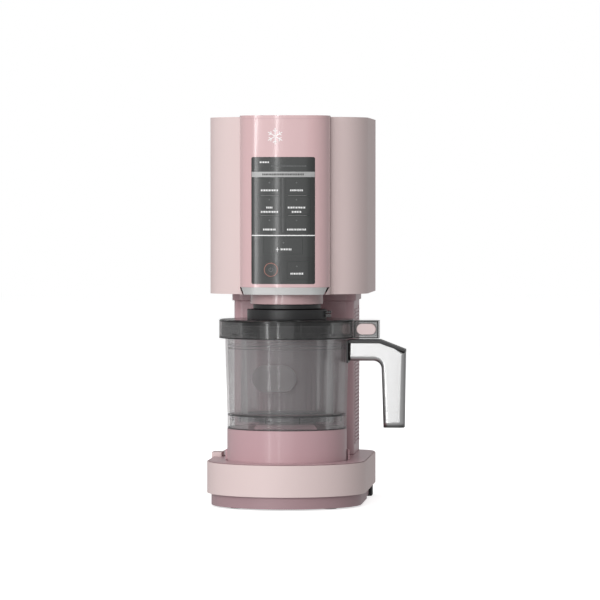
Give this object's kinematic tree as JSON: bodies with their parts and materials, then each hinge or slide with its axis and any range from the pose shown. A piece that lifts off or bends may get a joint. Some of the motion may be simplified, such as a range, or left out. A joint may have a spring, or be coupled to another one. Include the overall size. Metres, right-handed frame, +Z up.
{
  "type": "ice cream maker",
  "caption": "Countertop frozen dessert maker: drive head on a rear column, twist-and-lift base, bowl with handle and lid, cup inside, and a spinning paddle fed down into it.",
  "frame": {"origin": "on the floor below the middle of the whole box", "axes": "+Z up along the height, -Y towards the user and the control panel, +X towards the handle as the bowl is locked"},
  "size_m": [0.2078, 0.2728, 0.4051],
  "materials": {
    "matt_pink": "matt light pink moulded plastic",
    "gloss_pink": "glossy pink moulded plastic",
    "deep_pink": "satin dusty pink moulded plastic",
    "black_plastic": "satin black plastic",
    "rubber": "matt black rubber",
    "smoke": "smoky transparent copolyester",
    "clear": "clear copolyester",
    "silver_plastic": "satin silver plastic",
    "trim": "satin silver trim",
    "steel": "machined steel",
    "panel": "dark grey glossy panel",
    "board": "green circuit board",
    "dark_plastic": "dark grey structural plastic"
  },
  "bodies": {
    "chassis": {"bottom_plate": "dark_plastic", "base_skirt": "deep_pink", "base_band": "matt_pink", "base_deck": "deep_pink", "rubber_feet": "rubber", "base_screws": "steel", "cam_ring": "dark_plastic", "column_shell": "deep_pink", "column_louvres": "deep_pink", "column_back": "deep_pink", "column_collar": "deep_pink", "frame_posts": "steel", "head_left": "matt_pink", "head_right": "matt_pink", "head_front": "gloss_pink", "head_top": "gloss_pink", "head_back": "matt_pink", "head_bottom": "deep_pink", "trim_strip": "trim", "neck_ring": "gloss_pink", "splash_collar": "black_plastic", "display_lens": "panel", "control_board": "board", "main_board": "board", "guide_rods": "steel", "upper_bracket": "steel", "lift_motor": "steel", "cord_gland": "rubber"},
    "lift_post": {"lift_post": "steel"},
    "bowl": {"turntable": "deep_pink", "cam_rollers": "steel", "outer_bowl": "smoke", "handle_bracket": "black_plastic", "handle_grip": "silver_plastic", "handle_cap": "black_plastic", "pint_cup": "clear"},
    "lid": {"lid": "smoke", "lid_hub": "black_plastic", "lid_seal": "rubber"},
    "lid_button": {"lid_button": "matt_pink"},
    "paddle_latch": {"paddle_latch": "smoke"},
    "hub_bushing": {"hub_bushing": "black_plastic"},
    "paddle": {"paddle": "steel"},
    "carriage": {"gearbox_housing": "dark_plastic", "drive_motor": "steel"},
    "spindle": {"spindle": "steel"},
    "idler_gear": {"idler_gear": "steel"},
    "motor_pinion": {"motor_pinion": "steel"},
    "lead_screw": {"lead_screw": "steel"},
    "lift_pinion": {"lift_pinion": "steel"},
    "bowl_release": {"bowl_release": "matt_pink"},
    "key_power": {"key_power": "panel"},
    "key_respin": {"key_respin": "panel"},
    "key_mix_in": {"key_mix_in": "panel"},
    "key_program_1": {"key_program_1": "panel"},
    "key_program_2": {"key_program_2": "panel"},
    "key_program_3": {"key_program_3": "panel"},
    "key_program_4": {"key_program_4": "panel"},
    "key_program_5": {"key_program_5": "panel"},
    "key_program_6": {"key_program_6": "panel"}
  },
  "joints": [
    {"name": "bowl_lift", "type": "slide", "parent": "chassis", "child": "lift_post", "axis": [0, 0, 1], "range_m": [-0.02, 0]},
    {"name": "bowl_twist", "type": "hinge", "parent": "lift_post", "child": "bowl", "pos_m": [-0.0199, -0.0496, 0.07], "axis": [0, 0, 1], "range_deg": [-90, 0]},
    {"name": "lid_twist", "type": "hinge", "parent": "bowl", "child": "lid", "pos_m": [-0.0199, -0.0496, 0.18], "axis": [0, 0, 1], "range_deg": [0, 20]},
    {"name": "lid_button_press", "type": "slide", "parent": "lid", "child": "lid_button", "axis": [0, 1, 0], "range_m": [0, 0.0025], "stiffness_N_per_m": 600},
    {"name": "paddle_latch_press", "type": "slide", "parent": "lid", "child": "paddle_latch", "axis": [-1, 0, 0], "range_m": [0, 0.0035], "stiffness_N_per_m": 500},
    {"name": "hub_spin", "type": "hinge", "parent": "lid", "child": "hub_bushing", "pos_m": [-0.0199, -0.0496, 0.197], "axis": [0, 0, 1], "continuous": true},
    {"name": "paddle_feed", "type": "slide", "parent": "hub_bushing", "child": "paddle", "axis": [0, 0, 1], "range_m": [-0.085, 0]},
    {"name": "carriage_feed", "type": "slide", "parent": "chassis", "child": "carriage", "axis": [0, 0, 1], "range_m": [-0.085, 0]},
    {"name": "spindle_spin", "type": "hinge", "parent": "carriage", "child": "spindle", "pos_m": [-0.0199, -0.0496, 0.35], "axis": [0, 0, 1], "continuous": true},
    {"name": "idler_spin", "type": "hinge", "parent": "carriage", "child": "idler_gear", "pos_m": [-0.0199, 0.0254, 0.35], "axis": [0, 0, 1], "continuous": true},
    {"name": "motor_spin", "type": "hinge", "parent": "carriage", "child": "motor_pinion", "pos_m": [-0.0199, 0.0794, 0.35], "axis": [0, 0, 1], "continuous": true},
    {"name": "lead_screw_spin", "type": "hinge", "parent": "chassis", "child": "lead_screw", "pos_m": [-0.0799, 0.0804, 0.39], "axis": [0, 0, 1], "continuous": true},
    {"name": "lift_motor_spin", "type": "hinge", "parent": "chassis", "child": "lift_pinion", "pos_m": [-0.06894, 0.10287, 0.39], "axis": [0, 0, 1], "continuous": true},
    {"name": "bowl_release_press", "type": "slide", "parent": "chassis", "child": "bowl_release", "axis": [1, 0, 0], "range_m": [0, 0.004], "stiffness_N_per_m": 800},
    {"name": "key_power_press", "type": "slide", "parent": "chassis", "child": "key_power", "axis": [0, 1, 0], "range_m": [0, 0.0006], "stiffness_N_per_m": 1500},
    {"name": "key_respin_press", "type": "slide", "parent": "chassis", "child": "key_respin", "axis": [0, 1, 0], "range_m": [0, 0.0006], "stiffness_N_per_m": 1500},
    {"name": "key_mix_in_press", "type": "slide", "parent": "chassis", "child": "key_mix_in", "axis": [0, 1, 0], "range_m": [0, 0.0006], "stiffness_N_per_m": 1500},
    {"name": "key_program_1_press", "type": "slide", "parent": "chassis", "child": "key_program_1", "axis": [0, 1, 0], "range_m": [0, 0.0006], "stiffness_N_per_m": 1500},
    {"name": "key_program_2_press", "type": "slide", "parent": "chassis", "child": "key_program_2", "axis": [0, 1, 0], "range_m": [0, 0.0006], "stiffness_N_per_m": 1500},
    {"name": "key_program_3_press", "type": "slide", "parent": "chassis", "child": "key_program_3", "axis": [0, 1, 0], "range_m": [0, 0.0006], "stiffness_N_per_m": 1500},
    {"name": "key_program_4_press", "type": "slide", "parent": "chassis", "child": "key_program_4", "axis": [0, 1, 0], "range_m": [0, 0.0006], "stiffness_N_per_m": 1500},
    {"name": "key_program_5_press", "type": "slide", "parent": "chassis", "child": "key_program_5", "axis": [0, 1, 0], "range_m": [0, 0.0006], "stiffness_N_per_m": 1500},
    {"name": "key_program_6_press", "type": "slide", "parent": "chassis", "child": "key_program_6", "axis": [0, 1, 0], "range_m": [0, 0.0006], "stiffness_N_per_m": 1500}
  ],
  "couplings": [
    {"joint": "bowl_lift", "follows": "bowl_twist", "m_per_rad": 0.01273},
    {"joint": "paddle_feed", "follows": "carriage_feed", "ratio": 1},
    {"joint": "hub_spin", "follows": "spindle_spin", "ratio": 1},
    {"joint": "idler_spin", "follows": "spindle_spin", "ratio": -0.66667},
    {"joint": "motor_spin", "follows": "spindle_spin", "ratio": 3.3333},
    {"joint": "lead_screw_spin", "follows": "carriage_feed", "rad_per_m": -785.4},
    {"joint": "lift_motor_spin", "follows": "carriage_feed", "rad_per_m": 1178.1}
  ]
}
